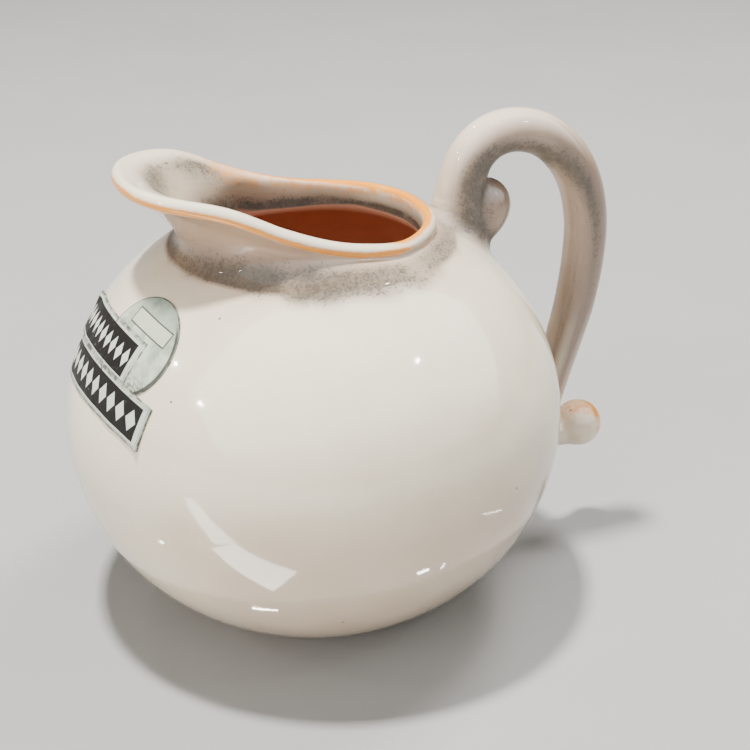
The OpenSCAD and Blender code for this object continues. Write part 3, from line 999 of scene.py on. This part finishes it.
def label_paper():
    m = LabelPrint("silver_paper_print")
    worn, fibre = m.noise(3, 5, 0.65), m.noise(0.35, 3)
    paper = m.mix(m.step(worn, 0.35, 0.65), PAPER_DARK, PAPER_LIGHT)
    ink = m.mix(fibre, INK_DARK, INK_LIGHT)
    in_bands = m.math("MAXIMUM", m.fill(m.box(*UPPER_BAND)), m.fill(m.box(*LOWER_BAND)))
    disc_only = m.math("SUBTRACT", 1.0, in_bands)
    colour = m.mix(m.math("MULTIPLY", in_bands, 0.6), paper, PAPER_BAND)
    top_shade = m.math("MULTIPLY", m.step(m.v, 4.0, 9.5), disc_only)
    colour = m.mix(m.math("MULTIPLY", top_shade, 0.6), colour, PAPER_SHADE)
    hatch = m.step(m.noise(0.8, 2, stretch=(3, 1, 1)), 0.46, 0.6)
    hatch = m.math("MULTIPLY", m.math("MULTIPLY", hatch, disc_only), m.step(m.v, -0.4, -3.6))
    colour = m.mix(m.math("MULTIPLY", hatch, 0.75), colour, PAPER_HATCH)
    frame_box = m.box(-0.6, 4.7, 10.2, 7.5)
    colour = m.mix(m.math("MULTIPLY", m.fill(frame_box), disc_only), colour, PAPER_BOX)
    # The dark arc just inside the disc's lower right edge is a painted shadow of the paper's edge, darkened
    # with the dirt colour.
    low_right = m.step(m.math("SUBTRACT", m.u, m.v), -1.0, 4.0)
    ring = m.math("MULTIPLY", m.line(m.disc(*DISC_MID, DISC_R - 0.35), 0.5), low_right)
    lines = m.math("MULTIPLY", m.math("MAXIMUM", m.line(frame_box, 0.26), ring), disc_only)
    edges = m.math("MAXIMUM", m.line(m.box(*UPPER_BAND), 0.5), m.line(m.box(*LOWER_BAND), 0.5))
    upper_trim = m.line(m.box(-22, -3.95, 6.3, 3.05), 0.14)
    lower_trim = m.line(m.box(-18, -11.1, 14.4, -4.6), 0.12)
    trim = m.math("MAXIMUM", upper_trim, lower_trim)
    edges = m.math("MAXIMUM", edges, m.math("MAXIMUM", trim, m.line(m.disc(*DISC_MID, DISC_R), 0.4)))
    dirt = m.math("MULTIPLY", edges, m.math("MULTIPLY_ADD", m.step(m.noise(1.5, 4), 0.4, 0.6), 0.6, 0.25))
    colour = m.mix(m.math("MAXIMUM", m.math("MULTIPLY", lines, 0.9), dirt), colour, PAPER_DIRT_AND_SHADOW)
    upper_black, lower_black = m.box(-22.0, -3.6, 5.4, 2.5), m.box(-18.0, -10.7, 13.4, -5.0)
    black = m.math("MAXIMUM", m.fill(upper_black), m.fill(lower_black))
    colour = m.mix(black, colour, ink)
    rows = m.math("MAXIMUM", m.lozenges(-0.55, 0.25, 2.5, 2.0, 3.5), m.lozenges(-7.85, 1.2, 3.0, 2.5, 3.7))
    colour = m.mix(m.math("MULTIPLY", rows, black), colour, m.mix(worn, LOZENGE_DARK, LOZENGE_LIGHT))
    scuff = m.step(m.noise(1.2, 5, 0.7), 0.62, 0.74)
    colour = m.mix(m.math("MULTIPLY", scuff, 0.5), colour, PAPER_SCUFF)
    m.set(Base_Color=colour, Roughness=m.math("MULTIPLY_ADD", worn, 0.2, 0.42), Specular_IOR_Level=0.2)
    m.bump(m.math("ADD", fibre, m.noise(2.5, 3)), 0.3, 0.08)
    return m.material


def floor_material():
    m = Nodes("pale_floor")
    colour = m.mix(m.noise(60, 3), FLOOR_DARK, FLOOR_LIGHT)
    m.set(Base_Color=colour, Roughness=0.7, Specular_IOR_Level=0.1)
    return m.material


# ---------- Camera, floor and lights ----------

def direction(azimuth, elevation):
    """Towards a place seen from the jug; azimuth 0 is the jug's front."""
    a, e = math.radians(azimuth), math.radians(elevation)
    return Vector((math.sin(a) * math.cos(e), -math.cos(a) * math.cos(e), math.sin(e)))


def camera():
    """The camera stands to the left of the front, above the rim, and looks down at the bowl."""
    azimuth, elevation = -21.4, 25.5
    distance, aside, above = 277.35, 11.06, 6.13
    back = direction(azimuth, elevation)
    right = Vector((math.cos(math.radians(azimuth)), math.sin(math.radians(azimuth)), 0))
    up = back.cross(right)
    place = Vector((0, 0, MID_Z)) + back * distance + right * aside + up * above
    data = bpy.data.cameras.new("camera")
    data.sensor_width = 36
    data.lens = 72.1
    data.clip_start, data.clip_end = 0.01, 20
    made = bpy.data.objects.new("camera", data)
    bpy.context.scene.collection.objects.link(made)
    axes = Matrix((right, up, back)).transposed().to_4x4()
    made.matrix_world = Matrix.Translation(place * MM) @ axes
    bpy.context.scene.camera = made


def floor():
    """A wide sheet that lies flat under the jug and curves up far behind it."""
    size, rise, start = 1.6, 1.1, 0.7
    xs = np.linspace(-size, size, 41)
    ys = np.linspace(-size, size * 1.2, 61)
    x, y = np.meshgrid(xs, ys, indexing="ij")
    z = rise * np.clip((y - start) / (ys[-1] - start), 0, 1) ** 2
    points = np.stack([x, y, z], -1).reshape(-1, 3)
    n = len(ys)
    faces = [
        [i * n + j, (i + 1) * n + j, (i + 1) * n + j + 1, i * n + j + 1]
        for i in range(len(xs) - 1) for j in range(n - 1)
    ]
    sheet = make_object("floor", points, faces)
    sheet.data.materials.append(floor_material())


def rectangle_lamp(name, size, power, colour):
    data = bpy.data.lights.new(name, "AREA")
    data.shape = "RECTANGLE"
    data.size, data.size_y = size
    data.energy = power
    data.color = colour
    lamp = bpy.data.objects.new(name, data)
    bpy.context.scene.collection.objects.link(lamp)
    return lamp


def area_light(name, azimuth, elevation, distance, size, power, colour=WARM_WHITE, mirrored=True):
    """A soft panel that looks at the jug; only some panels show as reflections in the glaze."""
    back = direction(azimuth, elevation)
    lamp = rectangle_lamp(name, size, power, colour)
    lamp.location = Vector((0, 0, MID_Z * MM)) + back * distance
    lamp.rotation_mode = "QUATERNION"
    lamp.rotation_quaternion = back.to_track_quat("Z", "Y")
    lamp.visible_glossy = mirrored
    return lamp


def soft_edge(lamp, share):
    """Fades a panel out towards its lower edge."""
    lamp.data.use_nodes = True
    tree = lamp.data.node_tree
    place = tree.nodes.new("ShaderNodeNewGeometry").outputs["Parametric"]
    split = tree.nodes.new("ShaderNodeSeparateXYZ")
    fade = tree.nodes.new("ShaderNodeMapRange")
    fade.interpolation_type = "SMOOTHSTEP"
    fade.inputs["From Min"].default_value = 0.0
    fade.inputs["From Max"].default_value = share
    tree.links.new(place, split.inputs[0])
    tree.links.new(split.outputs[1], fade.inputs["Value"])
    tree.links.new(fade.outputs[0], tree.nodes["Emission"].inputs["Strength"])


def low_strip(x, y, turn, length, width, glow):
    """A lit strip that lies on the floor beside the jug and shows only as its reflection in the glaze."""
    size = (length * MM, width * MM)
    lamp = rectangle_lamp("low_strip", size, glow * math.pi * size[0] * size[1], STRIP_WHITE)
    lamp.location = Vector((x, y, 0.5)) * MM
    lamp.rotation_euler = (math.pi, 0, math.radians(turn))
    lamp.visible_camera = False
    lamp.visible_diffuse = False


def lights():
    """Light from above casts the spout's shadow, wide panels fill it, and the sheen panel, the small
    lamps and the strips show in the glaze."""
    area_light("key_above", -105, 82, 0.95, (0.08, 0.08), 22, mirrored=False)
    area_light("right_panel", 112, 60, 0.95, (0.3, 0.3), 9, mirrored=False)
    area_light("front_panel", 0, 52, 1.0, (3.0, 1.2), 9.5, mirrored=False)
    area_light("low_left_panel", -62, 12, 0.9, (0.7, 0.3), 6.5, WARMER_WHITE, mirrored=False)
    sheen = area_light("sheen_panel", 8, 46, 1.0, (5.0, 2.2), 120, COOL_WHITE)
    sheen.visible_diffuse = False
    soft_edge(sheen, 0.5)
    for azimuth, elevation in SMALL_LAMPS:
        area_light("small_lamp", azimuth, elevation, 0.9, (0.034, 0.02), 0.5)
    for strip in LOW_STRIPS:
        low_strip(*strip)
    world = bpy.data.worlds.new("studio")
    world.use_nodes = True
    nodes, links = world.node_tree.nodes, world.node_tree.links
    seen = nodes.new("ShaderNodeMapRange")
    seen.inputs["To Min"].default_value = 0.16
    seen.inputs["To Max"].default_value = 0.8
    links.new(nodes.new("ShaderNodeLightPath").outputs["Is Camera Ray"], seen.inputs["Value"])
    nodes["Background"].inputs[0].default_value = (0.60, 0.61, 0.61, 1)
    links.new(seen.outputs[0], nodes["Background"].inputs[1])
    bpy.context.scene.world = world


# ---------- The jug ----------

def place_piece(piece, node, material):
    piece.data.materials.append(material)
    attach(piece, "root")
    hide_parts(node)


camera()
lights()
floor()

body_glaze = glaze("milky_body_glaze", BODY_CREAM, BODY_ROSE_AND_SHADE)
handle_glaze = glaze("pink_handle_glaze", HANDLE_CREAM, HANDLE_ROSE_AND_SHADE)

place_piece(jug_body(), "jug_body", body_glaze)
place_piece(handle(), "handle", handle_glaze)
place_piece(
    blended_piece("curled_end", curl, 1.2, (27, -6.5, 24), (40, 6.5, 42), curl_marks),
    "upper_curl", handle_glaze,
)
place_piece(
    blended_piece("knob_end", KNOB_BALL, 1.3, (49, -6, -19.5), (61, 6, -7.5), knob_marks),
    "lower_knob", handle_glaze,
)
place_piece(
    slip_joint("upper_slip", (17, -11, 22), (42, 11, 46)),
    "upper_slip_joint", handle_glaze,
)
place_piece(
    slip_joint("lower_slip", (40, -7, -22), (54, 7, 12)),
    "lower_slip_joint", handle_glaze,
)
place_piece(paper_label(), "paper_label", label_paper())
